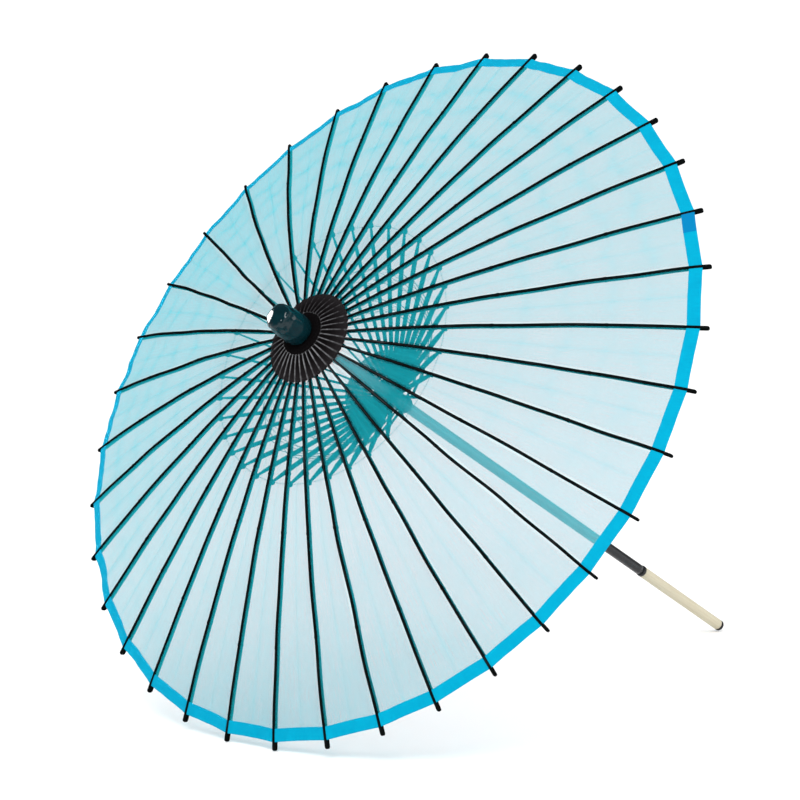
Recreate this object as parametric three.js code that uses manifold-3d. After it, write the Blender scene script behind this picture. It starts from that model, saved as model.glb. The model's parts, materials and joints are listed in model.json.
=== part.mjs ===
// A Japanese dance parasol, opened and lying on the ground.
// It rests on its two lowest rib tips and on the end of its handle.
// Millimetres. The umbrella is modelled upright around its shaft, +Z towards the finial and Z = 0 at the
// plane of the rib tips, and the finished group is then laid down with +Z up.
import * as THREE from 'three';
import { mergeVertices } from 'three/addons/utils/BufferGeometryUtils.js';
import Module from 'manifold-3d';

const wasm = await Module();
wasm.setup();

// ---- driving dimensions ----
const GAP = 0.3; // clearance kept between neighbouring solids
const RIB_COUNT = 36;
const PITCH = (2 * Math.PI) / RIB_COUNT;
const TIP_RADIUS = 410;
const TIP_Z = 2.5; // height of the ribs' outer edge at the tips
const BEND_RADIUS = 190; // control point of the ribs' outer curve
const BEND_Z = 95.5;
const HEAD_Z = 137; // height of the ribs' outer edge above the hub pivot

const HUB_PIVOT_RADIUS = 17;
const HUB_PIVOT_Z = 134.6;
const RIB_WIDTH = 3.2;
const RIB_HEAD_WIDTH = 1.6;
const RIB_DEPTH = 6;
const RIB_HEAD_DEPTH = 4.8;
const RIB_HEAD_ROUND = 2.5;
const RIB_THIN_TO = 30; // radius up to which a rib keeps its thin head
const RIB_FULL_FROM = 90; // radius from which it has its full section
const THREAD_HOLE = 0.85;

const PIN_RADIUS = 152; // radius on the outer edge above the stretcher joint
const PIN_DEPTH = 7; // of the stretcher joint below that edge
const LUG_ROUND = 3;
const LUG_SLOT = 1.9;
const LUG_SLOT_ROOF = 2.4; // material left above the slot
const LUG_SLOT_IN = 14; // how far the slot runs towards the hub
const LUG_SLOT_OUT = 16; // and towards the tip

const STRETCHER_WIDTH = 1.4;
const STRETCHER_UPPER_DEPTH = 3.6; // from the line of its pins, on the side that closes against the shaft
const STRETCHER_LOWER_DEPTH = 2.1; // and on the side that closes against the rib
const STRETCHER_END_ROUND = 1.3;
const STRETCHER_SHOULDER = 24; // length over which a stretcher's ends grow to full depth
const RUNNER_PIVOT_RADIUS = 14;
const RUNNER_PIVOT_Z = -6;

const SHAFT_RADIUS = 5.85;
const SHAFT_TOP = 165;
const SHAFT_JOIN = -495; // where the black shaft ends and the plain handle begins
const TENON_RADIUS = 3.8;
const TENON_LENGTH = 32;
const COLLAR_RADIUS = 6.6;
const COLLAR_LENGTH = 4;
const HANDLE_RADIUS = 6.35;
const HANDLE_END = -657;
const END_CAP_LENGTH = 5;
const END_FLAT_RADIUS = 3.6;
const END_ROUND = 2.8;

const HUB_RADIUS = 21.5;
const HUB_CORE = 14;
const HUB_BOTTOM = 130;
const HUB_SLOT_TOP = 138.2;
const HUB_TOP = 141.5;
const HUB_SLOT = 2;
const RUNNER_RADIUS = 17.5;
const RUNNER_CORE = 12;
const RUNNER_SLOT = 1.7;
const RUNNER_HALF_HEIGHT = 3.4;
const SLEEVE_RADIUS = 9.2;
const SLEEVE_LENGTH = 30;
const GROOVE_HALF_HEIGHT = 0.8; // thread groove in the hub and the runner
const GROOVE_INSIDE = 0.8; // how far it runs inside the pivot circle
const THREAD_RADIUS = 0.45;

const CATCH_WIDTH = 2.4;
const CATCH_SLOT = 3.2;
const CATCH_LEAF = 1; // thickness of the spring leaf
const CATCH_LEAF_RADIUS = 3.6;
const CATCH_NOSE_RADIUS = 8.2;
const CATCH_NOSE_LENGTH = 11;
const CATCH_LENGTH = 38;
const CATCH_SLOT_ROOT = 0.4;

const CLOTH = 0.5; // thickness of the canopy's solid
const HOOD_CLOTH = 1.2; // and of the padded hood's
const CANOPY_INSIDE = 23;
const CANOPY_OUTSIDE = 389;
const BAND_OUTSIDE = 401.8;
const HOOD_RADIUS = 51;
const HOOD_SHOULDER = 21.8;
const HOOD_RING_RADIUS = 24.5; // where the hood is gathered, just outside the hub
const HOOD_RING_DROP = 3.4;
const HOOD_BOW = 0.6; // how far the hood bows above a straight slope

const FINIAL_FOOT_RADIUS = 15.2;
const FINIAL_BELLY_RADIUS = 17.2;
const FINIAL_BELLY_Z = 156; // height at which the finial is widest
const FINIAL_CROWN_RADIUS = 14.4;
const FINIAL_TOP = 187;
const FINIAL_DOME = 6; // height of the domed crown
const FINIAL_BORE_DEPTH = 22;

// ---- finishes ----
const finish = (color, roughness, metalness = 0) => () =>
  new THREE.MeshStandardMaterial({ color, roughness, metalness });
const blackLacquer = finish(0x15171a, 0.3);
const blackRib = finish(0x101416, 0.45);
const paleWood = finish(0xe1d7b9, 0.55);
const cyanCloth = finish(0xa9dfe8, 0.8);
const blueBand = finish(0x00aee0, 0.75);
const blackCloth = finish(0x222024, 0.9);
const blackThread = finish(0x1b1b1d, 0.85);
const springSteel = finish(0x9a9ca0, 0.35, 1);

// ---- geometry helpers ----
const point = (x, y) => new THREE.Vector2(x, y);

function arc(centre, radius, from, to, steps) {
  const points = [];
  for (let i = 0; i <= steps; i += 1) {
    const angle = from + ((to - from) * i) / steps;
    points.push(point(centre.x + radius * Math.cos(angle), centre.y + radius * Math.sin(angle)));
  }
  return points;
}

// Turns a closed outline of (radius, height) pairs around the shaft's axis.
function turned(outline, segments, start = 0) {
  const points = outline.map(([radius, height]) => point(radius, height));
  const geometry = new THREE.LatheGeometry(points, segments, start);
  return geometry.rotateX(Math.PI / 2);
}

// A flat outline in the (radius, height) plane, given a thickness across that plane.
function plate(points, width, holes = []) {
  const shape = new THREE.Shape(points);
  holes.forEach((hole) => shape.holes.push(new THREE.Path(hole)));
  const geometry = new THREE.ExtrudeGeometry(shape, { depth: width, bevelEnabled: false });
  return geometry.translate(0, 0, -width / 2).rotateX(Math.PI / 2);
}

function toSolid(geometry) {
  const bare = geometry.clone();
  bare.deleteAttribute('normal');
  bare.deleteAttribute('uv');
  const merged = mergeVertices(bare, 1e-4);
  return new wasm.Manifold(
    new wasm.Mesh({
      numProp: 3,
      vertProperties: merged.attributes.position.array,
      triVerts: Uint32Array.from(merged.index.array),
    }),
  );
}

function toGeometry(solid) {
  const mesh = solid.getMesh();
  const geometry = new THREE.BufferGeometry();
  geometry.setAttribute('position', new THREE.BufferAttribute(mesh.vertProperties, 3));
  geometry.setIndex(new THREE.BufferAttribute(mesh.triVerts, 1));
  geometry.computeVertexNormals();
  return geometry;
}

function box(low, high) {
  const size = high.map((value, i) => value - low[i]);
  const middle = high.map((value, i) => (value + low[i]) / 2);
  return new THREE.BoxGeometry(...size).translate(...middle);
}

// The angle of spoke number 1 to 36 around the shaft, measured from the lowest direction.
const spokeAngle = (number) => (number - 0.5) * PITCH;
const HALF_PITCH = PITCH / 2;

// ---- the ribs' curve ----
const outerCurve = new THREE.QuadraticBezierCurve(
  point(HUB_PIVOT_RADIUS, HEAD_Z),
  point(BEND_RADIUS, BEND_Z),
  point(TIP_RADIUS, TIP_Z),
);

// Where along the curve it reaches a radius.
function curvePlace(radius) {
  const a = HUB_PIVOT_RADIUS - 2 * BEND_RADIUS + TIP_RADIUS;
  const b = 2 * (BEND_RADIUS - HUB_PIVOT_RADIUS);
  const c = HUB_PIVOT_RADIUS - radius;
  return (-b + Math.sqrt(b * b - 4 * a * c)) / (2 * a);
}

// A point at a depth below the outer edge, and the directions along the rib and out of it.
function onRib(place, depth) {
  const along = outerCurve.getTangent(place);
  const out = point(-along.y, along.x);
  return { along, out, at: outerCurve.getPoint(place).addScaledVector(out, -depth) };
}

const grow = (radius) => THREE.MathUtils.clamp((radius - RIB_THIN_TO) / (RIB_FULL_FROM - RIB_THIN_TO), 0, 1);
const ribDepth = (radius) => THREE.MathUtils.lerp(RIB_HEAD_DEPTH, RIB_DEPTH, grow(radius));
const ribWidth = (radius) => THREE.MathUtils.lerp(RIB_HEAD_WIDTH, RIB_WIDTH, grow(radius));
const heightAt = (radius) => outerCurve.getPoint(curvePlace(radius)).y;

const pin = onRib(curvePlace(PIN_RADIUS), PIN_DEPTH);
const hubPivot = point(HUB_PIVOT_RADIUS, HUB_PIVOT_Z);
const runnerPivot = point(RUNNER_PIVOT_RADIUS, RUNNER_PIVOT_Z);

// ---- one rib, drawn around its pivot in the hub ----
function ribGeometry() {
  const stations = [30, 70, 110, 170, 230, 290, 350];
  const upper = stations.map((radius) => onRib(curvePlace(radius), 0).at);
  const lower = stations.map((radius) => onRib(curvePlace(radius), ribDepth(radius)).at).reverse();

  const tip = onRib(1, 0);
  const turn = Math.atan2(tip.out.y, tip.out.x);
  const tipRound = 2.2;
  const inset = tip.at.clone().addScaledVector(tip.along, -tipRound);
  const corner = (depth) => inset.clone().addScaledVector(tip.out, -depth);
  const tipOutline = [
    ...arc(corner(tipRound), tipRound, turn, turn - Math.PI / 2, 2),
    ...arc(corner(RIB_DEPTH - tipRound), tipRound, turn - Math.PI / 2, turn - Math.PI, 2),
  ];

  const lugTurn = Math.atan2(pin.along.y, pin.along.x);
  const lug = arc(pin.at, LUG_ROUND, lugTurn + 0.35, lugTurn - Math.PI - 0.35, 5);
  const beforeLug = lower.filter((p) => p.x > pin.at.x);
  const afterLug = lower.filter((p) => p.x < pin.at.x);
  const head = arc(hubPivot, RIB_HEAD_ROUND, -0.6 * Math.PI, -1.45 * Math.PI, 5);

  const outline = [...upper, ...tipOutline, ...beforeLug, ...lug, ...afterLug, ...head];
  const threadHole = arc(hubPivot, THREAD_HOLE, 0, (2 * Math.PI * 5) / 6, 5);
  const bar = plate(outline.reverse(), RIB_WIDTH, [threadHole]);

  const position = bar.attributes.position;
  for (let i = 0; i < position.count; i += 1) {
    position.setY(i, (position.getY(i) * ribWidth(position.getX(i))) / RIB_WIDTH);
  }

  const slot = box(
    [-LUG_SLOT_IN, -LUG_SLOT / 2, -LUG_ROUND - 2],
    [LUG_SLOT_OUT, LUG_SLOT / 2, PIN_DEPTH - LUG_SLOT_ROOF],
  );
  slot.rotateY(-Math.atan2(pin.along.y, pin.along.x)).translate(pin.at.x, 0, pin.at.y);
  return toGeometry(toSolid(bar).subtract(toSolid(slot))).translate(-hubPivot.x, 0, -hubPivot.y);
}

// ---- one stretcher, drawn along +X from the pin that joins it to its rib, its upper side towards -Z ----
const stretcherLength = pin.at.distanceTo(runnerPivot);

function stretcherGeometry() {
  const far = stretcherLength;
  const outline = [
    ...arc(point(0, 0), STRETCHER_END_ROUND, Math.PI / 2, (3 * Math.PI) / 2, 4),
    point(STRETCHER_SHOULDER, -STRETCHER_UPPER_DEPTH),
    point(far - STRETCHER_SHOULDER, -STRETCHER_UPPER_DEPTH),
    ...arc(point(far, 0), STRETCHER_END_ROUND, -Math.PI / 2, Math.PI / 2, 4),
    point(far - STRETCHER_SHOULDER, STRETCHER_LOWER_DEPTH),
    point(STRETCHER_SHOULDER, STRETCHER_LOWER_DEPTH),
  ];
  return plate(outline, STRETCHER_WIDTH);
}

// ---- the hub and the runner: turned blocks with a slot for every spoke and a groove for the thread ----
function slotted(block, { from, to, bottom, top, width, grooveRadius, grooveZ }) {
  let solid = toSolid(block);
  for (let number = 1; number <= RIB_COUNT; number += 1) {
    const slot = box([from, -width / 2, bottom], [to, width / 2, top]).rotateZ(spokeAngle(number));
    solid = solid.subtract(toSolid(slot));
  }
  const groove = turned(
    [
      [grooveRadius, grooveZ - GROOVE_HALF_HEIGHT],
      [to, grooveZ - GROOVE_HALF_HEIGHT],
      [to, grooveZ + GROOVE_HALF_HEIGHT],
      [grooveRadius, grooveZ + GROOVE_HALF_HEIGHT],
      [grooveRadius, grooveZ - GROOVE_HALF_HEIGHT],
    ],
    RIB_COUNT,
    HALF_PITCH,
  );
  return toGeometry(solid.subtract(toSolid(groove)));
}

function hubGeometry() {
  const bore = SHAFT_RADIUS + GAP;
  const block = turned(
    [
      [bore, HUB_BOTTOM],
      [HUB_RADIUS, HUB_BOTTOM],
      [HUB_RADIUS, HUB_TOP],
      [bore, HUB_TOP],
      [bore, HUB_BOTTOM],
    ],
    RIB_COUNT,
    HALF_PITCH,
  );
  return slotted(block, {
    from: HUB_CORE,
    to: HUB_RADIUS + 3,
    bottom: HUB_BOTTOM - 2,
    top: HUB_SLOT_TOP,
    width: HUB_SLOT,
    grooveRadius: HUB_PIVOT_RADIUS - GROOVE_INSIDE,
    grooveZ: HUB_PIVOT_Z,
  });
}

const sleeveEnd = RUNNER_PIVOT_Z - RUNNER_HALF_HEIGHT - SLEEVE_LENGTH;

function runnerGeometry() {
  const bore = SHAFT_RADIUS + GAP;
  const top = RUNNER_PIVOT_Z + RUNNER_HALF_HEIGHT;
  const bottom = RUNNER_PIVOT_Z - RUNNER_HALF_HEIGHT;
  const block = turned(
    [
      [bore, sleeveEnd],
      [SLEEVE_RADIUS - 0.8, sleeveEnd],
      [SLEEVE_RADIUS, sleeveEnd + 1.2],
      [SLEEVE_RADIUS, bottom - 2],
      [RUNNER_CORE - GAP, bottom],
      [RUNNER_RADIUS, bottom],
      [RUNNER_RADIUS, top],
      [bore, top],
      [bore, sleeveEnd],
    ],
    RIB_COUNT,
    HALF_PITCH,
  );
  return slotted(block, {
    from: RUNNER_CORE,
    to: RUNNER_RADIUS + 3,
    bottom: bottom - 1,
    top: top + 1,
    width: RUNNER_SLOT,
    grooveRadius: RUNNER_PIVOT_RADIUS - GROOVE_INSIDE,
    grooveZ: RUNNER_PIVOT_Z,
  });
}

function threadGeometry() {
  return new THREE.TorusGeometry(HUB_PIVOT_RADIUS, THREAD_RADIUS, 6, RIB_COUNT).translate(0, 0, HUB_PIVOT_Z);
}

// ---- the shaft, its catch and the handle ----
const catchTop = sleeveEnd - 2 * GAP;
const catchFoot = catchTop - CATCH_LENGTH;

function shaftGeometry() {
  const rod = turned(
    [
      [0, SHAFT_JOIN - TENON_LENGTH],
      [TENON_RADIUS, SHAFT_JOIN - TENON_LENGTH],
      [TENON_RADIUS, SHAFT_JOIN],
      [SHAFT_RADIUS, SHAFT_JOIN],
      [SHAFT_RADIUS, SHAFT_TOP],
      [0, SHAFT_TOP],
    ],
    32,
  );
  const slot = box(
    [CATCH_SLOT_ROOT, -CATCH_SLOT / 2, catchFoot - GAP],
    [SHAFT_RADIUS + 2, CATCH_SLOT / 2, catchTop + GAP],
  );
  return toGeometry(toSolid(rod).subtract(toSolid(slot.rotateZ(Math.PI))));
}

// A spring leaf with a wedge nose that holds up the runner, drawn around the leaf's foot.
function catchGeometry() {
  const leafOut = CATCH_LEAF_RADIUS + CATCH_LEAF;
  const outline = [
    point(CATCH_LEAF_RADIUS, catchFoot),
    point(leafOut, catchFoot),
    point(leafOut, catchTop - CATCH_NOSE_LENGTH),
    point(CATCH_NOSE_RADIUS, catchTop - 2),
    point(CATCH_NOSE_RADIUS, catchTop),
    point(CATCH_LEAF_RADIUS, catchTop),
  ];
  return plate(outline, CATCH_WIDTH).translate(-CATCH_LEAF_RADIUS, 0, -catchFoot);
}

function collarGeometry() {
  const bore = SHAFT_RADIUS + GAP;
  const top = SHAFT_JOIN + COLLAR_LENGTH;
  return turned(
    [
      [bore, SHAFT_JOIN],
      [COLLAR_RADIUS, SHAFT_JOIN],
      [COLLAR_RADIUS, top - 1],
      [COLLAR_RADIUS - 0.4, top],
      [bore, top],
      [bore, SHAFT_JOIN],
    ],
    28,
  );
}

function handleGeometry() {
  const top = SHAFT_JOIN - GAP;
  const boreEnd = SHAFT_JOIN - TENON_LENGTH - 2;
  const bore = TENON_RADIUS + GAP;
  return turned(
    [
      [0, HANDLE_END],
      [HANDLE_RADIUS, HANDLE_END],
      [HANDLE_RADIUS, top - 0.6],
      [HANDLE_RADIUS - 0.6, top],
      [bore, top],
      [bore, boreEnd],
      [0, boreEnd],
    ],
    28,
  );
}

const endCapTop = HANDLE_END - GAP;
const endCapBottom = endCapTop - END_CAP_LENGTH;

function endCapGeometry() {
  const rounding = arc(point(END_FLAT_RADIUS, endCapBottom + END_ROUND), END_ROUND, -Math.PI / 2, 0, 4);
  const side = END_FLAT_RADIUS + END_ROUND;
  const outline = [[0, endCapBottom], ...rounding.map((p) => [p.x, p.y]), [side, endCapTop], [0, endCapTop]];
  return turned(outline, 28);
}

// ---- the finial, a domed knob over the shaft's top ----
const hoodUnder = HUB_TOP + GAP;
const hoodTop = hoodUnder + HOOD_CLOTH;
const finialBottom = hoodTop + GAP;

// The finial's radius at a height: widest at its belly, and falling away to its foot and its crown.
function finialRadius(height) {
  const shoulder = FINIAL_TOP - FINIAL_DOME;
  const [end, endRadius] =
    height < FINIAL_BELLY_Z ? [finialBottom, FINIAL_FOOT_RADIUS] : [shoulder, FINIAL_CROWN_RADIUS];
  const share = (height - FINIAL_BELLY_Z) / (end - FINIAL_BELLY_Z);
  return FINIAL_BELLY_RADIUS - (FINIAL_BELLY_RADIUS - endRadius) * share * share;
}

function finialGeometry() {
  const shoulder = FINIAL_TOP - FINIAL_DOME;
  const bore = SHAFT_RADIUS + GAP;
  const sideSteps = 8;
  const side = [];
  for (let i = 0; i <= sideSteps; i += 1) {
    const height = finialBottom + ((shoulder - finialBottom) * i) / sideSteps;
    side.push([finialRadius(height), height]);
  }
  const dome = [75, 60, 45, 30, 15].map((degrees) => {
    const angle = THREE.MathUtils.degToRad(degrees);
    return [FINIAL_CROWN_RADIUS * Math.sin(angle), shoulder + FINIAL_DOME * Math.cos(angle)];
  });
  return turned(
    [
      [bore, finialBottom],
      ...side,
      ...dome,
      [0, FINIAL_TOP],
      [0, finialBottom + FINIAL_BORE_DEPTH],
      [bore, finialBottom + FINIAL_BORE_DEPTH],
      [bore, finialBottom],
    ],
    24,
  );
}

// ---- the cloth: 36-sided skins that lie on the ribs' outer edges ----
function skin(radii, lift) {
  const under = radii.map((radius) => [radius, heightAt(radius) + lift]);
  const over = under.map(([radius, height]) => [radius, height + CLOTH]).reverse();
  return turned([...under, ...over, under[0]], RIB_COUNT, HALF_PITCH);
}

const canopyGeometry = () => skin([CANOPY_INSIDE, 75, 130, 195, 260, 325, CANOPY_OUTSIDE], GAP);
const bandGeometry = () => skin([CANOPY_OUTSIDE + GAP, BAND_OUTSIDE], GAP);

function hoodGeometry() {
  const bore = SHAFT_RADIUS + GAP;
  const ring = hoodUnder - HOOD_RING_DROP;
  const edge = heightAt(HOOD_RADIUS) + CLOTH + 2 * GAP;
  const middleRadius = (HOOD_RING_RADIUS + HOOD_RADIUS) / 2;
  const middle = (ring + edge) / 2 + HOOD_BOW;
  const under = [
    [bore, hoodUnder],
    [HOOD_SHOULDER, hoodUnder],
    [HOOD_RING_RADIUS, ring],
    [middleRadius, middle],
    [HOOD_RADIUS, edge],
  ];
  const over = under.map(([radius, height]) => [radius, height + HOOD_CLOTH]).reverse();
  return turned([...under, ...over, under[0]], RIB_COUNT, HALF_PITCH);
}

// ---- assembly ----
const umbrella = new THREE.Group();

function add(name, geometry, material, parent = umbrella) {
  const mesh = new THREE.Mesh(geometry, material());
  mesh.name = name;
  parent.add(mesh);
  return mesh;
}

add('shaft', shaftGeometry(), blackLacquer);
add('joint_collar', collarGeometry(), blackLacquer);
add('handle', handleGeometry(), paleWood);
add('end_cap', endCapGeometry(), blackLacquer);
add('top_hub', hubGeometry(), paleWood);
add('hub_thread', threadGeometry(), blackThread);
add('finial', finialGeometry(), blackLacquer);
add('hood', hoodGeometry(), blackCloth);
add('canopy', canopyGeometry(), cyanCloth);
add('edge_band', bandGeometry(), blueBand);
add('runner', runnerGeometry(), blackLacquer);

const catchSide = new THREE.Group();
catchSide.rotation.z = Math.PI;
umbrella.add(catchSide);
add('spring_catch', catchGeometry(), springSteel, catchSide).position.set(CATCH_LEAF_RADIUS, 0, catchFoot);

const rib = ribGeometry();
const stretcher = stretcherGeometry();
const stretcherTilt = Math.atan2(pin.at.y - runnerPivot.y, pin.at.x - runnerPivot.x);
const STRETCHER_EVERY = 3; // the ribs between carry their stretchers as soft goods do, outside this model

for (let number = 1; number <= RIB_COUNT; number += 1) {
  const spoke = new THREE.Group();
  spoke.rotation.z = spokeAngle(number);
  umbrella.add(spoke);
  const label = String(number).padStart(2, '0');
  add(`rib_${label}`, rib, blackRib, spoke).position.set(hubPivot.x, 0, hubPivot.y);
  if (number % STRETCHER_EVERY === 2) {
    const mesh = add(`stretcher_${label}`, stretcher, blackRib, spoke);
    mesh.position.set(pin.at.x, 0, pin.at.y);
    mesh.rotation.y = Math.PI - stretcherTilt;
  }
}

// ---- laid on the ground ----
// The ground touches the lower corners of the two lowest tips and the rounded edge of the end cap.
const lowTip = onRib(1, RIB_DEPTH);
const restX = lowTip.at.x * Math.cos(HALF_PITCH) - (END_FLAT_RADIUS + END_ROUND);
const lean = Math.atan2(restX, lowTip.at.y - endCapBottom);
const downAcross = new THREE.Vector3(-Math.sin(lean), 0, -Math.cos(lean));
const towardsFinial = new THREE.Vector3(-Math.cos(lean), 0, Math.sin(lean));
const sideways = new THREE.Vector3().crossVectors(towardsFinial, downAcross);
umbrella.setRotationFromMatrix(new THREE.Matrix4().makeBasis(downAcross, sideways, towardsFinial));
umbrella.updateMatrixWorld(true);

const bounds = new THREE.Box3().setFromObject(umbrella, true);
const centre = bounds.getCenter(new THREE.Vector3());
umbrella.position.set(-centre.x, -centre.y, -bounds.min.z);

const parasol = new THREE.Group();
parasol.add(umbrella);

export default parasol;
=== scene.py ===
"""A Japanese dance parasol, opened and lying on two rib tips and the end of its handle.

Shapes are worked out in the umbrella's own frame, in millimetres. There +Z runs up the shaft to the finial,
+X is the lowest direction across it, and Z = 0 is close to the plane of the rib tips. frame_points() turns
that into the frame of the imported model.
"""

import json
import math
import random

import bmesh
import bpy
import numpy as np
from mathutils import Matrix, Vector, noise


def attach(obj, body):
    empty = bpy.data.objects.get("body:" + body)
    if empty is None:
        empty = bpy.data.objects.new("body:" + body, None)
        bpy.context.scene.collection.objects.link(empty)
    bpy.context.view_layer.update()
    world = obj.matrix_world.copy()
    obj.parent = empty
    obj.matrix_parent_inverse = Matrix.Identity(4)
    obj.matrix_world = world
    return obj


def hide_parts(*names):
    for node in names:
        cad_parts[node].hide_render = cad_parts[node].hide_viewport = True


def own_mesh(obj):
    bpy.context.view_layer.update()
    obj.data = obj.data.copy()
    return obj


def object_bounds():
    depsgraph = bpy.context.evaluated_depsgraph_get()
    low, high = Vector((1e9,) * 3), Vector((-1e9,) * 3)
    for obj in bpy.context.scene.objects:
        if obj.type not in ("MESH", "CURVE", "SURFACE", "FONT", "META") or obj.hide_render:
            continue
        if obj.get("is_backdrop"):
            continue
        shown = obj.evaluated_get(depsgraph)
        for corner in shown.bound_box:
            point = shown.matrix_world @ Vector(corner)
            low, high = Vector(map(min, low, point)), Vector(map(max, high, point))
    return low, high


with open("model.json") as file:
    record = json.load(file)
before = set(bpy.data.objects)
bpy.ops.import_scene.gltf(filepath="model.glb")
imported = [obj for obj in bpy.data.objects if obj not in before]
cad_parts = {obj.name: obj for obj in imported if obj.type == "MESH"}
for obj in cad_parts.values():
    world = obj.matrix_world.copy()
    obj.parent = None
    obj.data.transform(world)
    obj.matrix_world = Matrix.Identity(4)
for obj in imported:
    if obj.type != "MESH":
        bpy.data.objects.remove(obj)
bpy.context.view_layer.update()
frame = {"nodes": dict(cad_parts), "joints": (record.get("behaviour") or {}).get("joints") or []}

# ---- driving dimensions, as in the CAD part, in millimetres ----
MM = 0.001
RIB_COUNT = 36
PITCH = 2 * math.pi / RIB_COUNT
SPOKES = range(1, RIB_COUNT + 1)
CAD_STRETCHERS = range(2, RIB_COUNT, 3)

TIP_RADIUS, TIP_Z = 410, 2.5
BEND_RADIUS, BEND_Z = 190, 95.5
HUB_PIVOT_RADIUS, HUB_PIVOT_Z = 17, 134.6
HEAD_Z = 137
RIB_HALF_WIDTH, RIB_HEAD_HALF_WIDTH = 1.6, 0.8
RIB_HALF_DEPTH, RIB_HEAD_HALF_DEPTH = 3.0, 2.4
RIB_THIN_TO, RIB_FULL_FROM = 30, 90
RIB_TIP_ROUND = 2.2

PIN_RADIUS, PIN_DEPTH = 152, 7
LUG_ROUND, LUG_SLOT = 3, 1.9
STRETCHER_HALF_WIDTH, STRETCHER_UPPER_DEPTH, STRETCHER_LOWER_DEPTH = 0.7, 3.6, 2.1
STRETCHER_END_ROUND, STRETCHER_SHOULDER = 1.3, 24
RUNNER_PIVOT_RADIUS, RUNNER_PIVOT_Z = 14, -6

SHAFT_RADIUS, SHAFT_TOP, SHAFT_JOIN = 5.85, 165, -495
# Above this height the shaft's colour is painted pale, a painted reflection of the light from inside the
# canopy.
PAINTED_REFLECTION_FROM = -412  # the height from which the shaft's lacquer looks pale
TENON_RADIUS, TENON_LENGTH = 3.8, 32
COLLAR_RADIUS, COLLAR_LENGTH = 6.6, 4
HANDLE_RADIUS, HANDLE_END = 6.35, -657
CAP_TOP, CAP_BOTTOM, CAP_ROUND = -657.3, -662.3, 2.8
CATCH_SLOT, CATCH_FOOT, CATCH_TOP, CATCH_SLOT_ROOT = 3.2, -78.0, -40.0, 0.4
FINIAL_BOTTOM, FINIAL_TOP, FINIAL_DOME = 143.3, 187, 6
FINIAL_FOOT_RADIUS, FINIAL_BELLY_RADIUS, FINIAL_CROWN_RADIUS, FINIAL_BELLY_Z = 15.2, 17.2, 14.4, 156

CLOTH_INSIDE, CLOTH_OUTSIDE = 23, 391.5
BAND_INSIDE, BAND_OUTSIDE = 389, 401.8
CLOTH_SINK = 1.1  # the cloth lies this far under the lacquered backs of the ribs
HOOD_RIM, HOOD_RING, HOOD_RADIUS = 6.6, 24.5, 51
HOOD_TOP, HOOD_RING_Z = 142.6, 139.6
SHEEN_SIDE = 0.35  # the direction, in radians, in which the hood wears most, and towards which the painted sheen on the hood's ridges and on the ribs' crowns is strongest

# ---- the umbrella's frame, from the imported joints ----
joints = {joint["name"]: joint for joint in frame["joints"]}
hinges = [Vector(joints[f"rib_{k:02d}_hinge"]["pos_m"]) for k in SPOKES]
axis_z = -Vector(joints["runner_slide"]["axis"]).normalized()
axis_x = (Vector((0, 0, -1)) + axis_z * axis_z.z).normalized()
axis_y = axis_z.cross(axis_x)
origin = sum(hinges, Vector()) / RIB_COUNT - axis_z * HUB_PIVOT_Z * MM
AXES = np.array([axis_x, axis_y, axis_z])


def frame_points(points):
    return np.asarray(points, float) @ AXES * MM + np.array(origin)


def spoke_angle(number):
    return (number - 0.5) * PITCH


def rib_spacing(radius):
    """The straight distance between two neighbouring ribs."""
    return 2 * radius * math.sin(PITCH / 2)


def smooth(low, high, value):
    t = min(max((value - low) / (high - low), 0.0), 1.0)
    return t * t * (3 - 2 * t)


# The rim is a little out of true: the mean, then the cosine and sine of one, two and three waves round it.
RIM_SWAY = (1.4, 1.2, -1.0, 0.7, -0.4)
RIM_RISE = (-1.8, 3.4, -1.1, 2.0, -1.2, -1.8, 0.8)


def round_rim(terms, angle):
    waves = [1.0]
    for count in range(1, 1 + len(terms) // 2):
        waves += [math.cos(count * angle), math.sin(count * angle)]
    return sum(term * wave for term, wave in zip(terms, waves))


def on_spoke(local, number):
    """Points given as (radius, across, height) beside spoke number, as umbrella points."""
    local = np.asarray(local, float)
    c, s = math.cos(spoke_angle(number)), math.sin(spoke_angle(number))
    r, t, z = local[..., 0], local[..., 1], local[..., 2]
    bent = np.clip((r - PIN_RADIUS) / (TIP_RADIUS - PIN_RADIUS), 0, 1) ** 1.6
    t = t + round_rim(RIM_SWAY, spoke_angle(number)) * bent
    z = z + round_rim(RIM_RISE, spoke_angle(number)) * bent
    return np.stack([r * c - t * s, r * s + t * c, z], axis=-1)


def between_spokes(local, number, step):
    """A point step spaces on from spoke number, on the straight line between the two spokes beside it."""
    before = math.floor(step)
    first, second = on_spoke(local, number + before), on_spoke(local, number + before + 1)
    return first * (before + 1 - step) + second * (step - before)


# ---- the ribs' outer edge, a parabola from the hub to the tip ----
def curve_place(radius):
    a = HUB_PIVOT_RADIUS - 2 * BEND_RADIUS + TIP_RADIUS
    b = 2 * (BEND_RADIUS - HUB_PIVOT_RADIUS)
    return (-b + math.sqrt(b * b - 4 * a * (HUB_PIVOT_RADIUS - radius))) / (2 * a)


def edge_height(radius):
    t = curve_place(radius)
    return (1 - t) ** 2 * HEAD_Z + 2 * t * (1 - t) * BEND_Z + t * t * TIP_Z


def edge_normal(radius):
    """The direction out of the umbrella, square to the ribs' edge, as (radius, height)."""
    t = curve_place(radius)
    along_r = (1 - t) * (BEND_RADIUS - HUB_PIVOT_RADIUS) + t * (TIP_RADIUS - BEND_RADIUS)
    along_z = (1 - t) * (BEND_Z - HEAD_Z) + t * (TIP_Z - BEND_Z)
    size = math.hypot(along_r, along_z)
    return np.array([-along_z, along_r]) / size


def under_edge(radius, depth):
    return np.array([radius, edge_height(radius)]) - edge_normal(radius) * depth


# ---- mesh helpers ----
BAR_STEP, CLOTH_STEP = 37, 80  # millimetres between neighbours' textures, so that no two look alike


def full_turn(steps, closed=False):
    """Evenly spaced angles round the shaft, ending where they start if closed is set."""
    return [2 * math.pi * j / steps for j in range(steps + closed)]


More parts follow.
